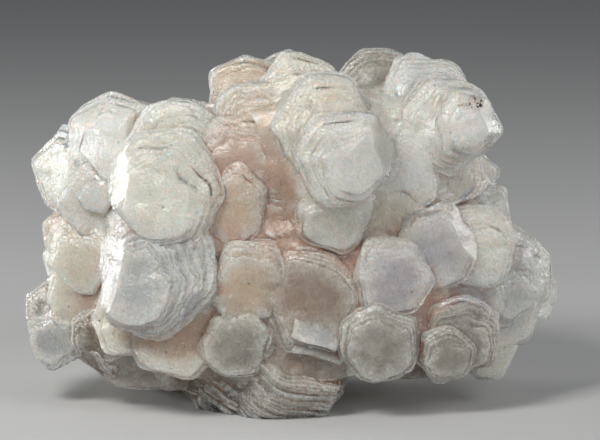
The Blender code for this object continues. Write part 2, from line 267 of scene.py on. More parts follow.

# Tint is the crystal's colour, partly its own and partly painted light and shade: darker on crystals
# that lie low, under others or deep in the cluster, and paler on open ones. Steps is how strongly its
# plates stand out. Across, up, toward and radius are in millimetres. The widest plate lies before this
# place by its shift. Yaw turns the face to the right and pitch turns it up, in degrees. Point is where a
# corner lies, in degrees round the face. Slip is how far the front face has moved right and up, depth how
# thick the stack is and front how wide its front face is, as shares of the radius. A cut is a flat facet:
# the direction it faces round the crystal, its lean from the front face, and its distance from the
# middle as a share of the radius.
FRONT_CRYSTALS = (
    Crystal("left_shoulder", "snow", 0.35, -35.4, 51, 10, 10.8, -24, 20, 100, (0.15, -0.2),
            front=0.55, cuts=((6, 42, 0.5),)),
    Crystal("left_flank", "white", 0.6, -43.8, 46, 6, 9.4, -42, 6, 170, (0.1, -0.2), front=0.6),
    Crystal("left_stub", "snow", 0.5, -38.5, 40.3, 17, 3.8, -20, -5, -120, (0, -0.1), 1.8),
    Crystal("left_hollow", "snow", 0.6, -37, 39.8, 13, 9.4, -12, 0, -60, (0, -0.2)),
    Crystal("upper_left_crown", "white", 0.9, -21.4, 48.6, 18, 11.4, -6, 10, 60, (-0.1, -0.3), front=0.6),
    Crystal("upper_left_disc", "white", 1, -24.4, 42, 22, 12.8, -6, 8, -60, (-0.2, -0.3),
            front=0.56, cuts=((167, 48, 0.56),)),
    Crystal("lower_left_disc", "grey", 1, -26.1, 25.4, 23.5, 13.6, -8, 6, -70, (-0.3, -0.22),
            front=0.5, cuts=((165, 47, 0.53),)),
    Crystal("left_edge", "peach", 0.8, -43, 33, 8, 8, -42, 0, 150),
    Crystal("left_spur", "white", 0.8, -47, 26.9, 4, 4.6, -50, 0, 160, (0, -0.2)),
    Crystal("left_pink", "cream", 0.8, -41, 28.6, 13, 7.8, -26, 0, -110),
    Crystal("wing_back", "painted_shade_grey", 1, -48.2, 17.6, 6, 6.3, -36, 14, 165, (0, -0.1), front=0.6),
    Crystal("wing", "grey", 1, -47, 12.4, 10, 6.6, -22, -6, -93, (0, -0.3), 1.3, front=0.7),
    Crystal("wing_root", "brown", 0.9, -38, 13.5, 16, 6.4, -10, -12, -80),
    Crystal("under_left_book", "brown", 1, -38.5, 8.8, 11, 6.8, -55, -50, 0, (0, 0), 1.6),
    Crystal("under_disc_ledge", "cream", 0.9, -33.6, 15.9, 20, 7, -5, 10, -60, front=0.6),
    Crystal("left_foot_block", "painted_shade_grey", 0.7, -30.2, 8.6, 14, 8, -10, -30, -60, (0, -0.1), 1.3, sides=5),
    Crystal("left_foot_brown", "brown", 1, -20, 8.2, 16, 8.6, 5, -40, -60, (0, 0), 1.3),
    Crystal("pink_floor", "peach", 0.7, -21.9, 14, 21, 11, 0, 10, -80, (0, -0.2), 0.9),
    Crystal("low_centre_hex", "painted_shade_grey", 0.5, -11.2, 11.6, 24, 7.5, 8, -6, -115, (0, -0.1),
            1.2, 0.85, 6, ((190, 40, 0.56),)),
    Crystal("centre_disc", "peach", 0.9, -8.6, 24, 24, 8.8, 6, -8, -60, (-0.15, -0.25)),
    Crystal("high_centre_disc", "peach", 0.9, -11.7, 39, 23, 8.4, 4, -4, -95, (0, -0.2)),
    Crystal("high_centre_step", "pink", 1, -10.7, 48.1, 20, 9.9, 4, 4, -60, (0, -0.25), front=0.6),
    Crystal("high_centre_back", "peach", 1, -6.8, 54, 17, 9.9, 0, 12, -60, front=0.55),
    Crystal("top_left_saddle", "peach", 0.7, -20, 50.2, 8, 9.4, -12, 34, 80, (0, -0.1), front=0.6),
    Crystal("top_left_lobe", "peach", 0.3, -8.8, 60.6, 7, 8.5, -8, 30, 95, (0, -0.15), front=0.6),
    Crystal("top_rear_grey", "painted_shade_grey", 0.5, -0.7, 64, 0, 6.2, 0, 36, 90, (0, 0)),
    Crystal("crest_back", "cream", 0.4, 2.8, 59.4, 15, 9.8, -4, 22, 110, (0.1, -0.2), front=0.55),
    Crystal("crest_middle", "cream", 0.35, 6.8, 54.3, 22, 11, 6, 10, -60, (0.2, -0.25), front=0.6),
    Crystal("crest", "snow", 0.35, 11, 48.6, 27, 10.3, 12, -2, -62, (0.2, -0.2), 1.1,
            front=0.5, cuts=((22, 46, 0.54),)),
    Crystal("under_crest_hex", "white", 0.6, 9.1, 37.1, 24, 8.4, 6, -14, -92, (0, -0.15), 1.2, 0.66),
    Crystal("right_gap_wall", "snow", 0.8, 21.4, 47.1, 19.5, 9.5, 4, 0, -100),
    Crystal("top_right_rear", "painted_shade_grey", 0.6, 17.4, 59.8, 5, 10.3, 4, 28, 104, (0, -0.1), front=0.6),
    Crystal("right_crown_back", "cool", 0.8, 26.4, 60.6, 11, 9, 10, 24, 60, (0.1, -0.2), front=0.6),
    Crystal("right_crown_middle", "snow", 1, 30.7, 54.5, 16, 10.3, 18, 10, -70, (0.15, -0.2), front=0.5),
    Crystal("right_crown", "snow", 0.8, 34.4, 54.7, 21, 6.8, 20, 4, -15, (0.1, -0.1), 1.3,
            front=0.45, cuts=((20, 36, 0.46),)),
    Crystal("right_crown_foot", "snow", 0.8, 29.2, 45.2, 16, 8.4, 12, -8, -80),
    Crystal("right_flank_top", "snow", 0.8, 35.1, 45.2, 7, 7, 34, 0, 10),
    Crystal("right_flank_middle", "cool", 0.8, 37.6, 36.6, 8, 7.8, 38, 6, 40, front=0.6),
    Crystal("right_grey_face", "lavender", 0.3, 28.8, 30.6, 20, 9.2, 8, 0, -110, (-0.05, -0.1),
            1.2, 0.8, 6, ((20, 47, 0.5),)),
    Crystal("right_sparkle", "white", 0.9, 36.6, 30.1, 15, 9.2, 16, 6, -60, front=0.6),
    Crystal("right_wall", "cool", 0.6, 42.6, 24.2, 9, 11.2, 34, 6, 30, (0, -0.1), front=0.6),
    Crystal("right_lower", "cool", 0.8, 43, 18.4, 11, 9, 30, -8, -50, (-0.1, -0.2)),
    Crystal("low_right_disc", "painted_shade_grey", 0.9, 33.6, 13.4, 18, 9, 12, -12, -40, (0, -0.25), front=0.6),
    Crystal("low_right_inner", "painted_shade_grey", 0.9, 30.7, 9.4, 21, 6.2, 10, -14, -40, (0, -0.2), front=0.6),
    Crystal("low_right_sparkle", "white", 0.9, 40, 9.1, 12, 5.6, 24, -10, -50),
    Crystal("low_right_under", "brown", 1, 27.3, 9.2, 14, 7.5, 10, -50, -60, (0, 0)),
    Crystal("centre_right_disc", "painted_shade_grey", 0.8, 17.6, 12.3, 24, 8.8, 4, -8, -95, (0, -0.25), 1.2),
    Crystal("centre_right_upper", "lavender", 0.7, 19.7, 24.7, 23, 8.8, 8, 4, -60, (0, -0.15)),
    Crystal("centre_right_pink", "pink", 0.7, 26.3, 20.3, 20, 7.2, 12, 0, -20),
    Crystal("centre_pink_wall", "rose", 0.7, 4.1, 20.3, 22, 11.4, 0, 0, -60, (0, 0), 0.9, 0.75),
    Crystal("centre_pink_upper", "salmon", 0.7, 9.3, 28.6, 20.5, 8.1, 0, -10, -90, (0, -0.1)),
    Crystal("centre_pink_left", "salmon", 0.8, -1.5, 34, 20.5, 9.9, 0, -6, -60, (0, -0.1)),
    Crystal("right_pink_wall", "cream", 0.7, 19.5, 35.7, 19.5, 9.2, 0, -4, -60),
    Crystal("high_gap_wall", "salmon", 0.8, -1.5, 44.5, 19, 9.4, 6, 4, -80, (0, -0.1), 0.9),
    Crystal("middle_left_wall", "salmon", 0.8, -17.5, 25, 18.5, 9.9, 4, -4, -100, (0, -0.1), 0.9),
    Crystal("left_low_wall", "cream", 0.8, -42, 20.5, 11.5, 7.7, -18, -4, -60, (0, -0.1), 0.9),
    Crystal("right_low_wall", "lavender", 0.8, 35, 21.5, 15.5, 8.8, 12, 0, -80, (0, -0.1), 0.9),
    Crystal("right_rim", "snow", 0.9, 48.9, 20.6, 5, 6.8, 52, 4, 0, (0, 0)),
    Crystal("slanted_block", "grey", 0.3, 4.7, 13.1, 25.5, 5.3, 14, 22, 22,
            (0, 0), 1.3, 0.94, 4, BLOCK_SIDES),
    Crystal("slanted_ledge", "painted_shade_grey", 0.3, 5.4, 10.2, 24, 5.2, 14, 18, 22,
            (0, 0), 1.3, 0.94, 4, BLOCK_SIDES),
    Crystal("front_book", "rose", 1.6, 0.6, 6.5, 15, 12.6, 46, 58, -34, (0, 0), 1.8, 0.9),
    Crystal("front_book_step", "brown", 1.6, -10.5, 3, 13, 8, 40, 60, -60, (0, 0), 1.5, 0.9),
)

# The crystals of the broken foot and the underside, with negative distances behind the sight plane
BASE_CRYSTALS = (
    Crystal("foot_left", "green", 0.8, -27, 5.6, -4, 10.5, -60, -72, 20),
    Crystal("foot_middle", "painted_shade_grey", 0.8, -10, 7, -9, 11.5, 180, -76, 40, (0, 0)),
    Crystal("foot_right", "painted_shade_grey", 0.8, 3.5, 6.2, -7, 10, 150, -78, 0, (0, 0)),
    Crystal("foot_front_left", "brown", 0.8, -22, 6, 2, 10, -20, -80, 10, (0, 0)),
    Crystal("foot_centre", "painted_shade_grey", 0.8, -8, 4.2, 5, 12, 0, -86, 30, (0, 0)),
    Crystal("under_middle", "painted_shade_grey", 0.8, 13, 11, 9, 9, 20, -62, 40),
    Crystal("under_front_right", "painted_shade_grey", 0.8, 30, 12.5, 9, 8.5, 30, -52, 15),
    Crystal("under_right", "pink", 0.8, 20, 12.5, -3, 10, 60, -65, 50),
    Crystal("under_far_right", "grey", 0.8, 33, 16, -2, 9.5, 70, -50, 0),
    Crystal("under_far_left", "green", 0.8, -39, 15.5, -2, 9.5, -70, -50, 30),
    Crystal("rear_low_right", "grey", 0.8, 16, 15, -13, 10.5, 160, -38, 10, (0, 0), 1.0),
    Crystal("rear_low_middle", "green", 0.8, -4, 15, -16, 11, 178, -34, 70, (0, 0), 1.0),
    Crystal("rear_low_left", "cream", 0.8, -23, 15, -14, 11, -168, -36, 25, (0, 0), 1.0),
)

Placed = namedtuple("Placed", "crystal middle right up outward")

# A crystal's colour counts less at a point, the further that is from its axis and from this share
# of the radius behind its widest plate: the unit of depth, its weight, and how fast the count falls
TINT_BEHIND = 0.2
TINT_DEPTH = 0.6
TINT_FLATNESS = 0.8
TINT_FALL = 6

# The colour that every crystal takes on towards its rim, and its part there, darker on a crystal
# whose own mean colour is under the full one. It is all there from this share of the radius outwards,
# and fades in over the share before.
RIM_TINT = np.array((0.90, 0.86, 0.77))
RIM_PART = 0.7
RIM_FULL = 0.72
RIM_END = 0.95
RIM_FADE = 0.5

# How much standing out from its neighbours counts towards a sharp rim
RIM_GAIN = 1.6

# The colours that are mixed in: in the hollows, partly the calcite's own pink and partly painted shade,
# which turns dark brown in the deepest; in veils and on rims, where the white on sharp rims is partly a
# painted highlight; on growth lines, partly painted shade and highlight of the small steps; and in specks
HOLLOW_PINK_AND_SHADE = (0.72, 0.42, 0.31, 1.0)
HOLLOW_SHADE_BROWN = (0.33, 0.17, 0.10, 1.0)
SUGAR_AND_HIGHLIGHT_WHITE = (0.93, 0.92, 0.86, 1.0)
LINE_AND_SHADE_GREY = (0.46, 0.40, 0.35, 1.0)
SPECK_BROWN = (0.16, 0.11, 0.08, 1.0)

# The grains' colours, black and tarnished gold
GRAIN_BLACK = (0.02, 0.018, 0.016, 1.0)
GRAIN_GOLD = (0.42, 0.30, 0.12, 1.0)

# The calcite's roughness, that of its facets beside the rest, and how far light spreads in it
CALCITE_ROUGHNESS = (0.14, 0.34)
FACET_MATT = 0.6
SPREAD_LENGTH = 5.0 * MM

# The scales of the calcite's textures
CLOUD_SCALE = 110.0
STRENGTH_SCALE = 170.0
SPECK_SCALE = 210.0
VEIL_SCALE = 300.0
BROAD_SCALE = 420.0
SUGAR_SCALE = 1500.0
MOTTLE_SCALE = 2600.0

FLOOR_HALF_WIDTH = 8.0

# What the lights are aimed at
LIGHT_AIM = (0.0, 0.0, 35 * MM)

# The photograph's frame: its middle, in millimetres across and up in the tables' view, and its width
VIEW_MIDDLE = (2.0, 35.8)
VIEW_WIDTH = 124.3
LENS = 200.0
SENSOR = 36.0


def add_object(name, data, collection=None):
    """A new object of this data, in this collection or the scene's own."""
    made = bpy.data.objects.new(name, data)
    (collection or bpy.context.scene.collection).objects.link(made)
    return made


def add_shape(name, mesh, collection=None):
    """A new object with the shape in the bmesh, which is freed."""
    data = bpy.data.meshes.new(name)
    mesh.to_mesh(data)
    mesh.free()
    return add_object(name, data, collection)


def sight_axes():
    """The directions back to the viewer and up, as the photograph's camera has them."""
    back = Vector((0.0, -math.cos(SIGHT_TILT), math.sin(SIGHT_TILT)))
    up = Vector((0.0, math.sin(SIGHT_TILT), math.cos(SIGHT_TILT)))
    return back, up


def frame_of(yaw, pitch):
    """Right, up and outward of a face turned by yaw and pitch, in degrees."""
    turn = math.radians(yaw)
    rise = math.radians(pitch)
    outward = Vector((
        math.sin(turn) * math.cos(rise),
        -math.cos(turn) * math.cos(rise),
        math.sin(rise),
    ))
    right = Vector((math.cos(turn), math.sin(turn), 0.0))
    return right, outward.cross(right), outward


def middle_of(crystal):
    """The middle of the crystal's widest plate, in millimetres."""
    height = crystal.up + crystal.toward * math.sin(SIGHT_TILT)
    middle = Vector((crystal.across, SIGHT_PLANE - crystal.toward, height / math.cos(SIGHT_TILT)))
    return middle + frame_of(crystal.yaw, crystal.pitch)[2] * PLATE_SHIFT * crystal.radius


def rear_crystals():
    """The crystals of the sides and back, on a golden-angle spiral round the core."""
    chance = random.Random(REAR_SEED)
    tints = random.Random(REAR_SEED + 1)
    golden_angle = math.pi * (3 - math.sqrt(5))
    for i in range(REAR_COUNT):
        level = 1 - 2 * (i + 0.5) / REAR_COUNT
        across = math.sqrt(1 - level * level)
        direction = Vector((
            across * math.cos(i * golden_angle),
            across * math.sin(i * golden_angle),
            level,
        ))
        radius = chance.uniform(*REAR_RADIUS)
        turn = chance.uniform(-REAR_TURN, REAR_TURN)
        tilt = chance.uniform(-REAR_TURN, REAR_TURN)
        point = chance.uniform(0, 360)
        slip = (chance.uniform(*REAR_SLIP_RIGHT), chance.uniform(*REAR_SLIP_UP))
        tint = tints.choice(REAR_TINTS)
        steps = tints.uniform(*REAR_STEPS)
        nearest = REAR_START if level < TOP_LEVEL else TOP_START
        if direction.y < nearest or level < REAR_LOWEST:
            continue
        reach = sum(abs(part) ** CORE_POWER for part in direction) ** (-1 / CORE_POWER)
        place = Vector(c + h * d * reach for c, h, d in zip(CORE_CENTRE, CORE_HALF_SIZE, direction))
        steep = (math.copysign(abs(d) ** (CORE_POWER - 1), d) for d in direction)
        outward = Vector(s / h for s, h in zip(steep, CORE_HALF_SIZE)).normalized()
        place += outward * REAR_LIFT * radius
        top = place.z * math.cos(SIGHT_TILT) + place.y * math.sin(SIGHT_TILT)
        top += radius * math.hypot(outward.x, outward.y)
        side = abs(place.x) + SKYLINE_REACH * radius * math.hypot(outward.y, outward.z)
        place.z -= max(0, top - np.interp(math.copysign(side, place.x), *zip(*SKYLINE)))
        yaw = math.degrees(math.atan2(outward.x, -outward.y)) + turn
        pitch = math.degrees(math.asin(outward.z)) + tilt
        yield Crystal(f"rear_{i:02d}", tint, steps, 0, 0, 0, radius, yaw, pitch, point, slip), place


def all_crystals():
    """Every crystal with its place and its axes."""
    placed = [(crystal, middle_of(crystal)) for crystal in FRONT_CRYSTALS + BASE_CRYSTALS]
    placed += list(rear_crystals())
    return [Placed(crystal, middle, *frame_of(crystal.yaw, crystal.pitch)) for crystal, middle in placed]


def heights(crystal):
    """How far the stack reaches behind and before its widest plate, in millimetres."""
    behind = BACK_DEPTH * crystal.depth * crystal.radius
    return behind, FRONT_RISE * (1 - crystal.front) * crystal.radius


def envelope(crystal, level):
    """Radius share and slip share of the stack at these levels before its widest plate."""
    behind, before = heights(crystal)
    inset = np.clip(-level / behind, 0, 1) ** 2
    rise = np.clip(level / before, 0, 1)
    slope = 1 - (1 - crystal.front) * rise ** SLOPE_POWER
    slip = min(1, 2 * (1 - crystal.front)) * rise ** SLIP_POWER
    return np.where(level < 0, 1 - (1 - ROOT_SHARE) * inset, slope), slip


def edge_shape(normals, reaches, angles):
    """The plate's edge at each angle, as a share of the radius: a polygon with bulging sides."""
    total = np.full_like(angles, CORNER_REACH ** -EDGE_POWER)
    for normal, reach in zip(normals, reaches):
        total += (np.clip(np.cos(angles - normal), 0, None) / reach) ** EDGE_POWER
    return total ** (-1 / EDGE_POWER)


def cut_radius(crystal, angles, height, radius):
    """Keeps an edge at this height behind the crystal's facets."""
    for direction, lean, distance in crystal.cuts:
        facing = np.cos(angles - math.radians(direction)) * math.sin(math.radians(lean))
        room = distance * crystal.radius - height * math.cos(math.radians(lean))
        reach = room / np.maximum(facing, CUT_LEAST_FACING)
        reach = np.maximum(reach, CUT_LEAST_RADIUS * crystal.radius)
        radius = np.where(facing > CUT_LEAST_FACING, np.minimum(radius, reach), radius)
    return radius


def plate_joints(crystal, spacing, chance):
    """The levels where plates meet, evenly spaced along the outline but for some chance."""
    behind, before = heights(crystal)
    levels = np.linspace(-behind, before, num=400)
    radii = envelope(crystal, levels)[0] * crystal.radius
    steps = np.hypot(np.diff(radii), np.diff(levels))
    along = np.concatenate([[0], np.cumsum(steps)])
    count = max(4, round(along[-1] / spacing))
    marks = np.linspace(0, along[-1], count + 1)
    marks[1:-1] += chance.uniform(-JOINT_CHANCE, JOINT_CHANCE, count - 1) * spacing
    return np.interp(marks, along, levels)


def ring_at(crystal, angles, radius, level):
    """The points of a plate's edge at this height, each with 1 on a facet and 0 elsewhere."""
    kept = cut_radius(crystal, angles, level, radius)
    return np.stack([kept * np.cos(angles), kept * np.sin(angles), level + 0 * angles, kept < radius], 1)


def uneven(chance, angles, lobes):
    """A wavy line round the crystal between random values at this many places."""
    values = chance.normal(0, 1, lobes)
    places = angles * lobes / math.tau
    low = np.floor(places).astype(int)
    share = places - low
    share = share * share * (3 - 2 * share)
    return values[low % lobes] * (1 - share) + values[(low + 1) % lobes] * share


def side_places(crystal):
    """The direction of each side of the plates and how far out it lies, as a share of the radius."""
    chance = random.Random(crystal.name)
    first_side = math.radians(crystal.point) + math.pi / crystal.sides
    normals = []
    reaches = []
    for side in range(crystal.sides):
        turn = chance.uniform(-SIDE_TURN, SIDE_TURN)
        normals.append(first_side + math.tau * side / crystal.sides + turn)
        reaches.append(chance.uniform(*SIDE_REACH))
    return np.array(normals), np.array(reaches)


def plate_rings(crystal, angles, low, high, fade, chance):
    """One plate's three rings, its notch, edge and bevel, stepped where the fade is strong."""
    normals, reaches = side_places(crystal)
    thickness = high - low
    middle = (low + high) / 2
    steps = STEP_SHARE * crystal.steps
    wander = chance.normal(0, PLATE_WANDER, crystal.sides)
    reaches = reaches * (1 + wander * (WANDER_LEAST + (1 - WANDER_LEAST) * steps))
    normals = normals + chance.normal(0, PLATE_TURN, crystal.sides)
    shape = edge_shape(normals, reaches, angles)
    to_slip = np.cos(angles) * crystal.slip[0] + np.sin(angles) * crystal.slip[1]
    own_fade = FADE_MEAN + FADE_SHARED * fade + FADE_OWN * uneven(chance, angles, lobes=9)
    own_fade = np.clip(own_fade, FADE_LEAST, 1)
    stepped = np.minimum(1, steps * own_fade)
    teeth = chance.normal(0, TOOTH_DEPTH, len(angles)) * stepped
    ledges = uneven(chance, angles, lobes=11) * LEDGE_DEPTH * (LEDGE_LEAST + own_fade)
    wave = uneven(chance, angles, lobes=6) * LEVEL_WAVE
    wide, wide_slip = envelope(crystal, middle)
    rings = []
    for place, inset, rise, toothed in (
        (low, PLATE_NOTCH, 0, SEAM_TEETH),
        (middle, 0, EDGE_LEVEL, 1),
        (high, PLATE_BEVEL, 1, SEAM_TEETH),
    ):
        narrow, narrow_slip = envelope(crystal, place)
        grown = wide * stepped + narrow * (1 - stepped)
        slipped = wide_slip * stepped + narrow_slip * (1 - stepped)
        radius = crystal.radius * (grown * shape + slipped * to_slip)
        radius = radius - inset * stepped + toothed * teeth + ledges
        level = low + (rise + wave) * thickness
        rings.append(ring_at(crystal, angles, radius, level))
    return rings


def stack_rings(crystal, corners, spacing):
    """The root's tip and every plate's edges, as rings of points in the crystal's own frame."""
    chance = np.random.default_rng(sum(map(ord, crystal.name)))
    angles = np.arange(corners) * math.tau / corners + math.radians(crystal.point)
    tip_level = -heights(crystal)[0] - ROOT_LENGTH * crystal.radius
    tip = ROOT_TIP * crystal.radius * edge_shape(*side_places(crystal), angles)
    rings = [ring_at(crystal, angles, tip, tip_level)]
    joints = plate_joints(crystal, spacing, chance)
    fade = uneven(chance, angles, lobes=5)
    for low, high in zip(joints, joints[1:]):
        rings += plate_rings(crystal, angles, low, high, fade, chance)
    return rings


def loft(name, radius, rings, matrix, collection):
    """A closed mesh object through the rings, which all have as many points, capped at both ends.

    Its corners carry the growth, how far out they lie, and whether they are on a facet. The name's
    length sets one crystal's growth lines off from another's.
    """
    corners = len(rings[0])
    face_middle = rings[-1].mean(0)
    inner = face_middle + (rings[-1] - face_middle) * FACE_INNER + (0, 0, FACE_SWELL, 0)
    rings = rings + [inner]
    all_points = np.concatenate(rings)
    points = all_points[:, :3] * MM
    facet = all_points[:, 3]
    reach = np.repeat([np.hypot(ring[:, 0], ring[:, 1]).mean() for ring in rings], corners)
    growth = points[:, 2] / MM - GROWTH_SLANT * reach + len(name)
    first = np.arange(corners)
    after = (first + 1) % corners
    quads = [
        np.stack([first, after, after + corners, first + corners], 1) + i * corners
        for i in range(len(rings) - 1)
    ]
    faces = np.concatenate(quads).tolist()
    faces.append(first[::-1].tolist())
    faces.append((first + corners * (len(rings) - 1)).tolist())
    data = bpy.data.meshes.new(name)
    data.from_pydata(points.tolist(), [], faces)
    order = np.concatenate(faces)
    for attribute, values in (("growth", growth), ("around", reach / radius), ("facet", facet)):
        made = data.attributes.new(attribute, "FLOAT", "CORNER")
        made.data.foreach_set("value", values[order].astype(np.float32))
    add_object(name, data, collection).matrix_world = matrix


def add_crystal(placed, collection):
    """One crystal in its place, coarser on the back, as a shape to be joined to the core."""
    crystal = placed.crystal
    behind = crystal.name.startswith("rear")
    corners = REAR_POINTS if behind else FRONT_POINTS
    spacing = REAR_SPACING if behind else PLATE_SPACING
    turn = Matrix((placed.right, placed.up, placed.outward)).transposed().to_4x4()
    matrix = Matrix.Translation(placed.middle * MM) @ turn
    rings = stack_rings(crystal, corners, spacing)
    loft(crystal.name, crystal.radius, rings, matrix, collection)


def add_core():
    """The solid heart of the cluster, which every crystal's root reaches into."""
    mesh = bmesh.new()
    bmesh.ops.create_icosphere(mesh, subdivisions=4, radius=1.0)
    for vertex in mesh.verts:
        reach = sum(abs(part) ** CORE_POWER for part in vertex.co) ** (-1 / CORE_POWER)
        place = (c + h * v * reach for c, h, v in zip(CORE_CENTRE, CORE_HALF_SIZE, vertex.co))
        vertex.co = Vector(place) * MM
    return add_shape("calcite_crystals", mesh)


def add_floor_cutter():
    """A slab below z = 0 that takes off what would reach under the foot."""
    mesh = bmesh.new()
    bmesh.ops.create_cube(mesh, size=1.0)
    bmesh.ops.scale(mesh, vec=(CUTTER_WIDTH, CUTTER_WIDTH, CUTTER_THICKNESS), verts=mesh.verts)
    bmesh.ops.translate(mesh, vec=(0, 0, -CUTTER_THICKNESS / 2), verts=mesh.verts)
    return add_shape("floor_cutter", mesh)


def outer_skin(data):
    """Keeps only the part of the mesh that is connected to its highest vertex."""
    mesh = bmesh.new()
    mesh.from_mesh(data)
    outermost = max(mesh.verts, key=lambda vertex: vertex.co.z)
    found = {outermost}
    waiting = [outermost]
    while waiting:
        for edge in waiting.pop().link_edges:
            for vertex in edge.verts:
                if vertex not in found:
                    found.add(vertex)
                    waiting.append(vertex)
    bmesh.ops.delete(mesh, geom=[v for v in mesh.verts if v not in found], context="VERTS")
    bmesh.ops.triangulate(mesh, faces=mesh.faces)
    mesh.to_mesh(data)
    mesh.free()


def apply_modifiers(item):
    """Makes the object's mesh what its modifiers make of it."""
    graph = bpy.context.evaluated_depsgraph_get()
    data = bpy.data.meshes.new_from_object(item.evaluated_get(graph))
    item.modifiers.clear()
    item.data = data


def union(cluster, collection):
    """Joins every object of the collection to the cluster, and removes them."""
    joined = cluster.modifiers.new("join_crystals", "BOOLEAN")
    joined.operation = "UNION"
    joined.solver = "MANIFOLD"
    joined.operand_type = "COLLECTION"
    joined.collection = collection
    apply_modifiers(cluster)
    for helper in list(collection.objects):
        bpy.data.objects.remove(helper)


def edge_pairs(data):
    """The two vertices of each of the mesh's edges."""
    pairs = np.empty(len(data.edges) * 2, np.int32)
    data.edges.foreach_get("vertices", pairs)
    return pairs.reshape(-1, 2)


def smoothed(values, pairs, times):
    """The values, each averaged with its neighbours' this many times."""
    count = np.bincount(pairs.ravel(), minlength=len(values)) + 1
    for _ in range(times):
        total = values + np.bincount(pairs[:, 0], values[pairs[:, 1]], len(values))
        total += np.bincount(pairs[:, 1], values[pairs[:, 0]], len(values))
        values = total / count
    return values


def spread(values, pairs, choice):
    """Each value, or the one that choice prefers among its neighbours'."""
    chosen = values.copy()
    choice.at(chosen, pairs[:, 0], values[pairs[:, 1]])
    choice.at(chosen, pairs[:, 1], values[pairs[:, 0]])
    return chosen


def facets(points, outward):
    """Heights of small flat facets over these points: each leans its own way from its own middle."""
    chance = np.random.default_rng(CRUST_SEED)
    seeds = points[chance.choice(len(points), FACET_COUNT, replace=False)]
    lean = chance.normal(0, FACET_LEAN, (FACET_COUNT, 3)) + np.array(FACET_DIP)
    rise = chance.uniform(-FACET_RISE, FACET_RISE, FACET_COUNT)
    lookup = KDTree(FACET_COUNT)
    for i, seed in enumerate(seeds.tolist()):
        lookup.insert(seed, i)
    lookup.balance()
    nearest = np.array([lookup.find(point)[1] for point in points.tolist()])
    offset = points - seeds[nearest]
    along = (offset * outward).sum(1, keepdims=True)
    return rise[nearest] + ((offset - along * outward) * lean[nearest]).sum(1)


def add_crust(cluster, collection):
    """A mass that fills the valleys between the crystals to a little under their mean level."""
    mesh = bmesh.new()
    bmesh.ops.create_icosphere(mesh, subdivisions=7, radius=1.0)
    data = add_shape("crust", mesh, collection).data
    rays, _ = main_arrays(data)
    rays = rays * np.array(CORE_HALF_SIZE)
    rays /= np.linalg.norm(rays, axis=1, keepdims=True)
    centre = Vector(CORE_CENTRE) * MM
    tree = BVHTree.FromObject(cluster, bpy.context.evaluated_depsgraph_get())
    hits = [tree.ray_cast(centre + ray * FAR_OUT, -ray)[0] for ray in map(Vector, rays.tolist())]
    filled = np.array([(hit - centre).length for hit in hits])
    pairs = edge_pairs(data)
    for _ in range(CRUST_CLOSING):
        filled = spread(filled, pairs, np.maximum)
    for _ in range(CRUST_CLOSING):
        filled = spread(filled, pairs, np.minimum)
    mean = smoothed(filled, pairs, CRUST_SMOOTHING)
    outline = np.exp(-(rays[:, 1] / OUTLINE_WIDTH) ** 2) * (rays[:, 2] > OUTLINE_LOWEST)
    level = mean - (CRUST_DEPTH + OUTLINE_DEPTH * outline) * MM
    level += facets(rays * level[:, None] / MM, rays) * MM
    points = np.array(centre) + rays * level[:, None]
    data.vertices.foreach_set("co", points.astype(np.float32).ravel())
    data.update()


def join_crystals(placed):
    """All crystals, the crust and the core as one closed mesh, cut flat at the foot."""
    grown = bpy.data.collections.new("crystals_to_join")
    bpy.context.scene.collection.children.link(grown)
    cluster = add_core()
    for first in range(0, len(placed), JOINED_AT_ONCE):
        for each in placed[first:first + JOINED_AT_ONCE]:
            add_crystal(each, grown)
        union(cluster, grown)
    add_crust(cluster, grown)
    union(cluster, grown)
    bpy.data.collections.remove(grown)
    cutter = add_floor_cutter()
    foot = cluster.modifiers.new("flat_foot", "BOOLEAN")
    foot.operation = "DIFFERENCE"
    foot.solver = "MANIFOLD"
    foot.object = cutter
    apply_modifiers(cluster)
    bpy.data.objects.remove(cutter)
    outer_skin(cluster.data)
    triangles = len(cluster.data.polygons)
    if triangles > MOST_TRIANGLES:
        fewer = cluster.modifiers.new("fewer_triangles", "DECIMATE")
        fewer.ratio = MOST_TRIANGLES / triangles
        apply_modifiers(cluster)
    return cluster


def main_arrays(data):
    """Points and normals of the mesh's vertices as arrays."""
    points = np.empty(len(data.vertices) * 3, np.float32)
    data.vertices.foreach_get("co", points)
    normals = np.empty(len(data.vertices) * 3, np.float32)
    data.vertex_normals.foreach_get("vector", normals)
    return points.reshape(-1, 3), normals.reshape(-1, 3)


def crystal_tints(points, placed):
    """Each point's colour, blended from the crystals round it by how deep it lies in each."""
    total = np.zeros((len(points), 4))
    weight = np.zeros(len(points))
    for each in placed:
        crystal = each.crystal
        offset = points / MM - np.array(each.middle)
        level = offset @ np.array(each.outward)
        level = (level + TINT_BEHIND * crystal.radius) / (TINT_DEPTH * crystal.radius)
        around = np.hypot(offset @ np.array(each.right), offset @ np.array(each.up)) / crystal.radius
        share = np.exp(-TINT_FALL * np.hypot(level * TINT_FLATNESS, around) ** 2)
        core = np.clip((RIM_END - around) / RIM_FADE, 0, 1)[:, None]
        colour = np.array(TINTS[crystal.tint])
        brightness = min(1, colour[:3].mean() / RIM_FULL)
        rim = (1 - RIM_PART) * colour + RIM_PART * np.append(RIM_TINT * brightness, colour[3])
        total += share[:, None] * (colour * core + rim * (1 - core))
        weight += share
    return total / weight[:, None]


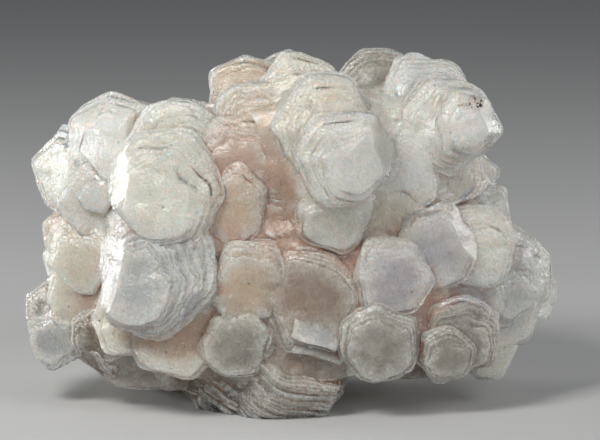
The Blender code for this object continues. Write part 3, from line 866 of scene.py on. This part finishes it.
def hollowness(data, points, normals):
    """How closed in each point is, from 0 in the open to 1, by rays to the neighbouring crystals."""
    corners = np.empty(len(data.polygons) * 3, np.int32)
    data.polygons.foreach_get("vertices", corners)
    tree = BVHTree.FromPolygons(points.tolist(), corners.reshape(-1, 3).tolist(), all_triangles=True)
    chance = np.random.default_rng(HOLLOW_SEED)
    directions = chance.normal(0, 1, (HOLLOW_RAYS, len(points), 3))
    directions /= np.linalg.norm(directions, axis=2, keepdims=True)
    closed = np.zeros(len(points))
    starts = points + normals * HOLLOW_START * MM
    for rays in directions + normals * HOLLOW_OUTWARD:
        pairs = zip(starts.tolist(), rays.tolist())
        hits = [tree.ray_cast(start, ray, HOLLOW_REACH)[3] for start, ray in pairs]
        closed += np.array([1 - hit / HOLLOW_REACH if hit is not None else 0 for hit in hits])
    closed /= HOLLOW_RAYS
    return smoothed(closed, edge_pairs(data), HOLLOW_SMOOTHING)


def rim_share(data, points, normals):
    """How much each point stands out from its neighbours, from 0 on a flat to 1 on a sharp rim."""
    edges = edge_pairs(data)
    pull = points[edges[:, 1]] - points[edges[:, 0]]
    pull /= np.linalg.norm(pull, axis=1, keepdims=True) + 1e-12
    total = np.zeros((len(points), 3))
    np.add.at(total, edges[:, 0], pull)
    np.add.at(total, edges[:, 1], -pull)
    count = np.bincount(edges.ravel(), minlength=len(points))
    out = -(total * normals).sum(1) / count
    return np.clip(out * RIM_GAIN, 0, 1)


def paint(cluster, placed):
    """Writes the crystals' tints, the hollows and the rims on the vertices, for the material's colour
    with its painted shade and highlights.
    """
    data = cluster.data
    points, normals = main_arrays(data)
    tint = data.color_attributes.new("tint", "FLOAT_COLOR", "POINT")
    tint.data.foreach_set("color", crystal_tints(points, placed).astype(np.float32).ravel())
    for name, values in (
        ("hollow", hollowness(data, points, normals)),
        ("rim", rim_share(data, points, normals)),
    ):
        attribute = data.attributes.new(name, "FLOAT", "POINT")
        attribute.data.foreach_set("value", values.astype(np.float32))


class Shading:
    """A material's nodes, made one after another."""

    def __init__(self, name):
        self.material = bpy.data.materials.new(name)
        self.material.use_nodes = True
        self.tree = self.material.node_tree
        self.shader = self.tree.nodes["Principled BSDF"]

    def node(self, kind, inputs=None, **settings):
        """A new node with its sockets linked or set."""
        made = self.tree.nodes.new("ShaderNode" + kind)
        for name, value in settings.items():
            setattr(made, name, value)
        for socket, value in (inputs or {}).items():
            if isinstance(value, bpy.types.NodeSocket):
                self.tree.links.new(value, made.inputs[socket])
            else:
                made.inputs[socket].default_value = value
        return made

    def attribute(self, name, output="Fac"):
        """A value that is written on the mesh."""
        return self.node("Attribute", attribute_name=name).outputs[output]

    def math(self, operation, first, second=0.0):
        return self.node("Math", {0: first, 1: second}, operation=operation).outputs[0]

    def remap(self, value, low, high, to_low=0.0, to_high=1.0):
        """The value taken from one range to another."""
        inputs = {"Value": value, "From Min": low, "From Max": high, "To Min": to_low, "To Max": to_high}
        return self.node("MapRange", inputs, clamp=True).outputs[0]

    def mix(self, share, first, second, blend="MIX"):
        inputs = {"Factor": share, 6: first, 7: second}
        return self.node("Mix", inputs, data_type="RGBA", blend_type=blend).outputs[2]

    def noise(self, scale, detail, roughness, place):
        """Cloudy values about 0.5."""
        inputs = {"Scale": scale, "Detail": detail, "Roughness": roughness, "Vector": place}
        return self.node("TexNoise", inputs).outputs["Fac"]

    def cells(self, scale, place):
        """The distance from the nearest of many random points."""
        return self.node("TexVoronoi", {"Vector": place, "Scale": scale}).outputs["Distance"]

    def grey(self, value):
        inputs = {"Red": value, "Green": value, "Blue": value}
        return self.node("CombineColor", inputs).outputs[0]

    def bump(self, height, strength, distance, under=None):
        """A bumped normal, with the distance in millimetres, over another bump's normal."""
        inputs = {"Strength": strength, "Distance": distance * MM, "Height": height}
        if under is not None:
            inputs["Normal"] = under
        return self.node("Bump", inputs).outputs[0]

    def set(self, socket, value):
        """Sets or links one of the shader's own sockets."""
        if isinstance(value, bpy.types.NodeSocket):
            self.tree.links.new(value, self.shader.inputs[socket])
        else:
            self.shader.inputs[socket].default_value = value


def calcite_colour(look, place, mottle, veils, lines, around):
    """White outside and pinker in the hollows, with growth lines, veils, specks and sugary rims.

    The hollows' pink is partly painted shade, darkening to brown in the deepest. The growth lines are
    partly painted shade and highlight of the small steps, and the white on sharp rims is partly a
    painted highlight.
    """
    clouds = look.noise(CLOUD_SCALE, 3.0, 0.55, place)
    hollow = look.math("ADD", look.attribute("hollow"), look.remap(clouds, 0.3, 0.7, -0.07, 0.07))
    tint = look.attribute("tint", "Color")
    white = look.mix(0.55, tint, SUGAR_AND_HIGHLIGHT_WHITE)
    # Painted shade: the hollows turn pink, partly the calcite's own colour and partly shade, and the
    # deepest hollows are painted dark brown where shade falls.
    pink_and_shade_share = look.math("MULTIPLY", look.remap(hollow, 0.2, 0.6), look.attribute("tint", "Alpha"))
    colour = look.mix(pink_and_shade_share, tint, HOLLOW_PINK_AND_SHADE)
    colour = look.mix(look.remap(hollow, 0.55, 0.85), colour, HOLLOW_SHADE_BROWN)
    sugar = look.noise(SUGAR_SCALE, 3.0, 0.7, place)
    border = look.remap(around, 0.5, 0.95, 0.0, 0.75)
    border = look.math("MULTIPLY", border, look.remap(sugar, 0.42, 0.6))
    colour = look.mix(border, colour, white)
    # Painted highlight: rims that stand out from their neighbours are whitened, partly the calcite's
    # sugary white and partly a painted highlight on the edges.
    rims = look.remap(look.attribute("rim"), 0.04, 0.32)
    rims = look.math("MULTIPLY", rims, look.remap(sugar, 0.35, 0.6, 0.3, 0.9))
    colour = look.mix(rims, colour, SUGAR_AND_HIGHLIGHT_WHITE)
    colour = look.mix(look.remap(veils, 0.4, 0.7, 0.0, 0.4), colour, white)
    # Growth lines, partly the calcite's own banding and partly painted shade and highlight: each line is
    # darker on one side and whiter on the other, as a small step's shaded and lit edges.
    strength = look.remap(look.noise(STRENGTH_SCALE, 2.0, 0.5, place), 0.38, 0.6, 0.1, 1.0)
    line_and_shade = look.math("MULTIPLY", look.remap(lines, 0.0, 0.35, 0.18, 0.0), strength)
    colour = look.mix(line_and_shade, colour, LINE_AND_SHADE_GREY)
    line_and_highlight = look.math("MULTIPLY", look.remap(lines, 0.75, 1.0, 0.0, 0.4), strength)
    colour = look.mix(line_and_highlight, colour, white)
    shade = look.grey(look.remap(mottle, 0.3, 0.7, 0.8, 1.1))
    colour = look.mix(1.0, colour, shade, "MULTIPLY")
    specks = look.cells(SPECK_SCALE, place)
    return look.mix(look.remap(specks, 0.03, 0.05, 0.8, 0.0), colour, SPECK_BROWN)


def growth_lines(look, place):
    """Fine lines that follow the crystals' plates, from 0 to 1 across each line."""
    wander = look.math("MULTIPLY", look.noise(VEIL_SCALE, 4.0, 0.6, place), GROWTH_WANDER)
    growth = look.math("ADD", look.attribute("growth"), wander)
    return look.math("FRACT", look.math("DIVIDE", growth, GROWTH_LINES))


def calcite_material():
    """Milky calcite, glossy on flat faces and sugary towards the rims."""
    look = Shading("manganoan_calcite")
    place = look.node("TexCoord").outputs["Object"]
    around = look.attribute("around")
    mottle = look.noise(MOTTLE_SCALE, 3.0, 0.65, place)
    veils = look.noise(VEIL_SCALE, 4.0, 0.65, place)
    lines = growth_lines(look, place)
    look.set("Base Color", calcite_colour(look, place, mottle, veils, lines, around))
    matt = look.remap(look.attribute("facet"), 0.4, 0.9, 1.0, FACET_MATT)
    roughness = look.remap(veils, 0.35, 0.65, *CALCITE_ROUGHNESS)
    look.set("Roughness", look.math("MULTIPLY", roughness, matt))
    look.set("IOR", 1.6)
    look.set("Specular IOR Level", 0.7)
    look.set("Transmission Weight", 0.3)
    look.set("Subsurface Weight", 1.0)
    look.set("Subsurface Radius", (1.0, 0.8, 0.68))
    look.set("Subsurface Scale", SPREAD_LENGTH)
    bump = look.bump(mottle, 0.55, 0.15)
    sugary = look.remap(around, 0.45, 0.8, 0.3, 1.0)
    crumbs = look.math("MULTIPLY", look.cells(SUGAR_SCALE, place), sugary)
    bump = look.bump(crumbs, look.math("MULTIPLY", matt, 0.7), 0.25, bump)
    bump = look.bump(lines, look.math("MULTIPLY", matt, 0.5), 0.14, bump)
    broad = look.noise(BROAD_SCALE, 5.0, 0.62, place)
    bump = look.bump(broad, look.math("MULTIPLY", matt, 0.5), 0.4, bump)
    look.set("Normal", bump)
    return look.material


def sulfide_material():
    """Dark sulfide with a tarnished golden sheen on some faces."""
    look = Shading("dark_sulfide")
    place = look.node("TexCoord").outputs["Object"]
    patches = look.noise(900.0, 3.0, 0.6, place)
    fine = look.noise(5000.0, 3.0, 0.6, place)
    look.set("Base Color", look.mix(look.remap(patches, 0.48, 0.62), GRAIN_BLACK, GRAIN_GOLD))
    look.set("Metallic", 0.8)
    look.set("Roughness", look.remap(fine, 0.3, 0.7, 0.25, 0.6))
    look.set("Normal", look.bump(fine, 0.6, 0.05))
    return look.material


def paper_material():
    """Plain matt paper for the floor."""
    look = Shading("pale_paper")
    look.set("Base Color", (0.5, 0.5, 0.5, 1.0))
    look.set("Roughness", 0.9)
    return look.material


def add_stage():
    """A wide pale floor."""
    data = bpy.data.meshes.new("studio_floor")
    signs = ((-1, -1), (1, -1), (1, 1), (-1, 1))
    corners = [(x * FLOOR_HALF_WIDTH, y * FLOOR_HALF_WIDTH, 0) for x, y in signs]
    data.from_pydata(corners, [], [(0, 1, 2, 3)])
    data.materials.append(paper_material())
    add_object("studio_floor", data)


def add_light(name, place, size, power, colour=(1, 1, 1)):
    """A soft square light aimed at the cluster's middle."""
    data = bpy.data.lights.new(name, "AREA")
    data.size = size
    data.energy = power
    data.color = colour
    light = add_object(name, data)
    light.location = place
    light.rotation_mode = "QUATERNION"
    light.rotation_quaternion = (Vector(place) - Vector(LIGHT_AIM)).to_track_quat("Z", "Y")


def add_lights():
    """Soft lights that make the flat facets glint."""
    add_light("key", (-0.22, -0.28, 0.38), 0.16, 1.9, (1.0, 0.99, 0.96))
    add_light("edge", (-0.50, 0.17, 0.11), 0.18, 1.5)
    add_light("rim", (0.48, 0.16, 0.12), 0.16, 0.8)
    add_light("fill", (0.40, -0.44, 0.42), 0.26, 1.3)
    add_light("front", (-0.10, -0.90, 0.25), 0.60, 0.15)
    world = bpy.data.worlds.new("studio")
    world.use_nodes = True
    background = world.node_tree.nodes["Background"]
    background.inputs["Color"].default_value = (0.9, 0.95, 1.0, 1.0)
    background.inputs["Strength"].default_value = 0.12
    bpy.context.scene.world = world


def add_camera():
    """A long lens at the photograph's angle, a little above level."""
    data = bpy.data.cameras.new("camera")
    data.lens = LENS
    data.sensor_width = SENSOR
    data.clip_start = 0.01
    data.clip_end = 10.0
    camera = add_object("camera", data)
    back, up = sight_axes()
    target = Vector((VIEW_MIDDLE[0], SIGHT_PLANE, 0.0)) + up * VIEW_MIDDLE[1]
    camera.location = (target + back * VIEW_WIDTH * LENS / SENSOR) * MM
    camera.rotation_mode = "QUATERNION"
    camera.rotation_quaternion = back.to_track_quat("Z", "Y")
    bpy.context.scene.camera = camera


def waves(points, wavelength, reach):
    """A smooth field of chance displacements over these points, about as far as the reach."""
    chance = np.random.default_rng(round(wavelength))
    total = np.zeros(points.shape)
    for _ in range(BEND_WAVES):
        direction = chance.normal(0, 1, 3)
        direction *= math.tau / (wavelength * np.linalg.norm(direction)) * chance.uniform(*BEND_LENGTHS)
        phase = chance.uniform(0, math.tau)
        total += np.sin(points @ direction + phase)[:, None] * chance.normal(0, BEND_HEIGHT * reach, 3)
    return total


def keep_inside(cluster, low, high):
    """Bends the crystals a little out of true, and keeps the surface within the solid's box."""
    points, _ = main_arrays(cluster.data)
    held = np.clip(points[:, 2:] / (BEND_START * MM), 0, 1)
    bent = sum(waves(points / MM, length, reach) for length, reach in BENDS)
    points = points + bent * held * MM
    points = np.clip(points, np.array(low), np.array(high))
    cluster.data.vertices.foreach_set("co", points.ravel())
    cluster.data.update()


def grain_places(cluster, low, high):
    """Where the grains sit: points on the surface that face the viewer, and some that face away."""
    chance = random.Random(GRAIN_SEED)
    tree = BVHTree.FromObject(cluster, bpy.context.evaluated_depsgraph_get())
    margin = GRAIN_MARGIN * MM
    back, up = sight_axes()
    views = [(back, patch) for patch in GRAIN_PATCHES] + [(-back, GRAIN_PATCHES[-1])]
    for sight, (across, height, half_width, count, size) in views:
        for _ in range(count):
            side = across + chance.uniform(-half_width, half_width)
            rise = height + chance.uniform(-half_width, half_width)
            target = (Vector((side, SIGHT_PLANE, 0.0)) + up * rise) * MM
            radius = chance.uniform(*size) / 2 * MM
            hit = tree.ray_cast(target + sight * FAR_OUT, -sight)[0]
            if hit is not None and all(a + margin < h < b - margin for a, h, b in zip(low, hit, high)):
                yield hit, radius


def add_grains(cluster, low, high):
    """Small angular grains of sulfide, half sunk in the calcite, as one mesh."""
    chance = np.random.default_rng(GRAIN_SEED)
    mesh = bmesh.new()
    for place, radius in grain_places(cluster, low, high):
        points = chance.normal(0, 1, (GRAIN_POINTS, 3))
        points *= radius / np.linalg.norm(points, axis=1, keepdims=True)
        points *= chance.uniform(*GRAIN_STRETCH, 3)
        verts = [mesh.verts.new(place + Vector(point)) for point in points.tolist()]
        hull = bmesh.ops.convex_hull(mesh, input=verts)
        bmesh.ops.delete(mesh, geom=hull["geom_interior"], context="VERTS")
    grains = add_shape("sulfide_grains", mesh)
    grains.data.materials.append(sulfide_material())
    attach(grains, "root")


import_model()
placed = all_crystals()
cluster = join_crystals(placed)
low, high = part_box(NODE)
keep_inside(cluster, low, high)
paint(cluster, placed)
cluster.data.shade_smooth()
cluster.data.set_sharp_from_angle(angle=math.radians(24))
cluster.data.materials.clear()
cluster.data.materials.append(calcite_material())
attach(cluster, "root")
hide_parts(NODE)
add_grains(cluster, low, high)
add_stage()
add_lights()
add_camera()
bpy.context.scene.view_settings.view_transform = "Standard"
